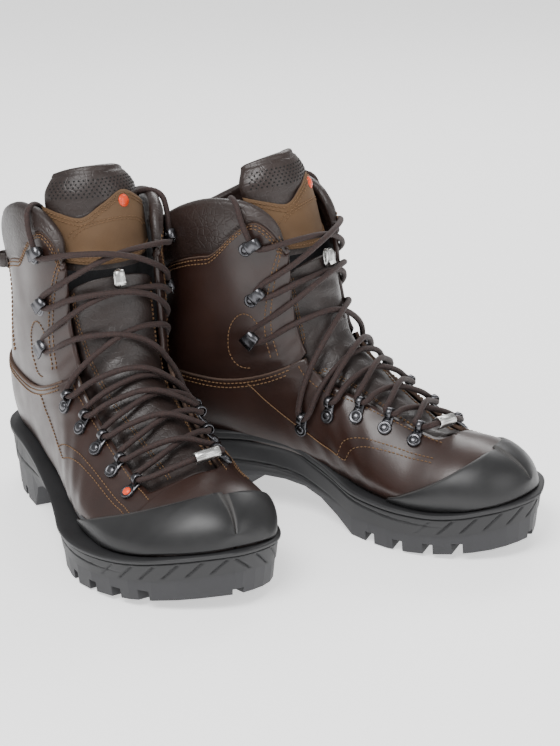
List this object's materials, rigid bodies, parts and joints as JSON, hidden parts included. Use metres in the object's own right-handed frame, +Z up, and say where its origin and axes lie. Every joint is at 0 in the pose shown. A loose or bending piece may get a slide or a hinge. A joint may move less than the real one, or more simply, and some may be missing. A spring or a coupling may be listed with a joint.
{
  "type": "pair of mountaineering boots",
  "caption": "Pair of ankle-high leather mountaineering boots with rubber toe rands, lugged soles, hooked lacing and padded tongues.",
  "frame": {"origin": "centre of the pair's footprint on the ground", "axes": "+Z up, +Y away from the viewer, +X to the viewer's right; both toes point towards the viewer and to the viewer's right"},
  "size_m": [0.3566, 0.2837, 0.2375],
  "materials": {
    "right_outsole": "moulded, matt, slightly worn dark grey",
    "right_midsole": "moulded, matt black",
    "right_toe_rand": "smooth satin black",
    "right_upper_foot": "smooth oiled dark brown",
    "right_ankle_cuff": "smooth oiled dark brown, grained at the padded collar",
    "right_tongue_lower": "soft grained",
    "right_tongue_upper": "soft grained",
    "right_tongue_top": "soft grained, perforated",
    "right_badge": "tan nubuck with a stud",
    "right_footbed": "brushed cover on foam",
    "right_tongue_hook": "plated",
    "right_heel_pull": "folded strap",
    "right_lace": "round braid",
    "right_lace_tag": "plated, polished",
    "right_loop_outer_1": "dark plated steel",
    "right_loop_outer_2": "dark plated steel",
    "right_loop_outer_3": "dark plated steel",
    "right_loop_outer_4": "dark plated steel",
    "right_loop_outer_5": "dark plated steel",
    "right_lock_hook_outer": "dark plated steel",
    "right_speed_hook_outer_1": "dark plated steel",
    "right_speed_hook_outer_2": "dark plated steel",
    "right_loop_inner_1": "dark plated steel",
    "right_loop_inner_2": "dark plated steel",
    "right_loop_inner_3": "dark plated steel",
    "right_loop_inner_4": "dark plated steel",
    "right_loop_inner_5": "dark plated steel",
    "right_lock_hook_inner": "dark plated steel",
    "right_speed_hook_inner_1": "dark plated steel",
    "right_speed_hook_inner_2": "dark plated steel",
    "left_outsole": "moulded, matt, slightly worn dark grey",
    "left_midsole": "moulded, matt black",
    "left_toe_rand": "smooth satin black",
    "left_upper_foot": "smooth oiled dark brown",
    "left_ankle_cuff": "smooth oiled dark brown, grained at the padded collar",
    "left_tongue_lower": "soft grained",
    "left_tongue_upper": "soft grained",
    "left_tongue_top": "soft grained, perforated",
    "left_badge": "tan nubuck with a stud",
    "left_footbed": "brushed cover on foam",
    "left_tongue_hook": "plated",
    "left_heel_pull": "folded strap",
    "left_lace": "round braid",
    "left_lace_tag": "plated, polished",
    "left_loop_outer_1": "dark plated steel",
    "left_loop_outer_2": "dark plated steel",
    "left_loop_outer_3": "dark plated steel",
    "left_loop_outer_4": "dark plated steel",
    "left_loop_outer_5": "dark plated steel",
    "left_lock_hook_outer": "dark plated steel",
    "left_speed_hook_outer_1": "dark plated steel",
    "left_speed_hook_outer_2": "dark plated steel",
    "left_loop_inner_1": "dark plated steel",
    "left_loop_inner_2": "dark plated steel",
    "left_loop_inner_3": "dark plated steel",
    "left_loop_inner_4": "dark plated steel",
    "left_loop_inner_5": "dark plated steel",
    "left_lock_hook_inner": "dark plated steel",
    "left_speed_hook_inner_1": "dark plated steel",
    "left_speed_hook_inner_2": "dark plated steel"
  },
  "bodies": {
    "right_foot_part": {"right_outsole": "right_outsole", "right_midsole": "right_midsole", "right_toe_rand": "right_toe_rand", "right_upper_foot": "right_upper_foot", "right_tongue_lower": "right_tongue_lower", "right_footbed": "right_footbed", "right_lace": "right_lace", "right_loop_outer_1": "right_loop_outer_1", "right_loop_outer_2": "right_loop_outer_2", "right_loop_outer_3": "right_loop_outer_3", "right_loop_outer_4": "right_loop_outer_4", "right_loop_outer_5": "right_loop_outer_5", "right_loop_inner_1": "right_loop_inner_1", "right_loop_inner_2": "right_loop_inner_2", "right_loop_inner_3": "right_loop_inner_3", "right_loop_inner_4": "right_loop_inner_4", "right_loop_inner_5": "right_loop_inner_5"},
    "right_cuff_part": {"right_ankle_cuff": "right_ankle_cuff", "right_tongue_upper": "right_tongue_upper", "right_tongue_hook": "right_tongue_hook", "right_lock_hook_outer": "right_lock_hook_outer", "right_lock_hook_inner": "right_lock_hook_inner", "right_speed_hook_outer_1": "right_speed_hook_outer_1", "right_speed_hook_outer_2": "right_speed_hook_outer_2", "right_speed_hook_inner_1": "right_speed_hook_inner_1", "right_speed_hook_inner_2": "right_speed_hook_inner_2"},
    "right_tongue_flap": {"right_tongue_top": "right_tongue_top", "right_badge": "right_badge"},
    "right_pull_loop": {"right_heel_pull": "right_heel_pull"},
    "right_tag": {"right_lace_tag": "right_lace_tag"},
    "left_foot_part": {"left_outsole": "left_outsole", "left_midsole": "left_midsole", "left_toe_rand": "left_toe_rand", "left_upper_foot": "left_upper_foot", "left_tongue_lower": "left_tongue_lower", "left_footbed": "left_footbed", "left_lace": "left_lace", "left_loop_outer_1": "left_loop_outer_1", "left_loop_outer_2": "left_loop_outer_2", "left_loop_outer_3": "left_loop_outer_3", "left_loop_outer_4": "left_loop_outer_4", "left_loop_outer_5": "left_loop_outer_5", "left_loop_inner_1": "left_loop_inner_1", "left_loop_inner_2": "left_loop_inner_2", "left_loop_inner_3": "left_loop_inner_3", "left_loop_inner_4": "left_loop_inner_4", "left_loop_inner_5": "left_loop_inner_5"},
    "left_cuff_part": {"left_ankle_cuff": "left_ankle_cuff", "left_tongue_upper": "left_tongue_upper", "left_tongue_hook": "left_tongue_hook", "left_lock_hook_outer": "left_lock_hook_outer", "left_lock_hook_inner": "left_lock_hook_inner", "left_speed_hook_outer_1": "left_speed_hook_outer_1", "left_speed_hook_outer_2": "left_speed_hook_outer_2", "left_speed_hook_inner_1": "left_speed_hook_inner_1", "left_speed_hook_inner_2": "left_speed_hook_inner_2"},
    "left_tongue_flap": {"left_tongue_top": "left_tongue_top", "left_badge": "left_badge"},
    "left_pull_loop": {"left_heel_pull": "left_heel_pull"},
    "left_tag": {"left_lace_tag": "left_lace_tag"}
  },
  "joints": [
    {"name": "right_ankle_flex", "type": "hinge", "parent": "right_foot_part", "child": "right_cuff_part", "pos_m": [-0.1245, 0.07156, 0.098], "axis": [0.9178, 0.3972, 0], "range_deg": [-1, 6], "stiffness_Nm_per_rad": 12, "deforming": ["right_lace"]},
    {"name": "right_tongue_fold", "type": "hinge", "parent": "right_cuff_part", "child": "right_tongue_flap", "pos_m": [-0.09968, 0.0142, 0.176], "axis": [0.9178, 0.3972, 0], "range_deg": [-8, 2], "stiffness_Nm_per_rad": 1.5},
    {"name": "right_pull_fold", "type": "hinge", "parent": "right_cuff_part", "child": "right_pull_loop", "pos_m": [-0.17399, 0.08232, 0.16577], "axis": [0, 0, 1], "range_deg": [-15, 15], "stiffness_Nm_per_rad": 0.3},
    {"name": "right_tag_slide", "type": "slide", "parent": "right_foot_part", "child": "right_tag", "axis": [-0.8855, -0.4369, -0.1578], "range_m": [-0.004, 0.004]},
    {"name": "left_ankle_flex", "type": "hinge", "parent": "left_foot_part", "child": "left_cuff_part", "pos_m": [-0.01927, 0.08135, 0.098], "axis": [0.5476, 0.8368, 0], "range_deg": [-1, 6], "stiffness_Nm_per_rad": 12, "deforming": ["left_lace"]},
    {"name": "left_tongue_fold", "type": "hinge", "parent": "left_cuff_part", "child": "left_tongue_flap", "pos_m": [0.03303, 0.04712, 0.176], "axis": [0.5476, 0.8368, 0], "range_deg": [-8, 2], "stiffness_Nm_per_rad": 1.5},
    {"name": "left_pull_fold", "type": "hinge", "parent": "left_cuff_part", "child": "left_pull_loop", "pos_m": [-0.02145, 0.13195, 0.16577], "axis": [0, 0, 1], "range_deg": [-15, 15], "stiffness_Nm_per_rad": 0.3},
    {"name": "left_tag_slide", "type": "slide", "parent": "left_foot_part", "child": "left_tag", "axis": [0.5813, 0.7982, -0.1578], "range_m": [-0.004, 0.004]},
    {"name": "left_lift", "type": "slide", "parent": "right_foot_part", "child": "left_foot_part", "axis": [0.4575, 0.4575, 0.7625], "range_m": [0, 0.3]}
  ]
}
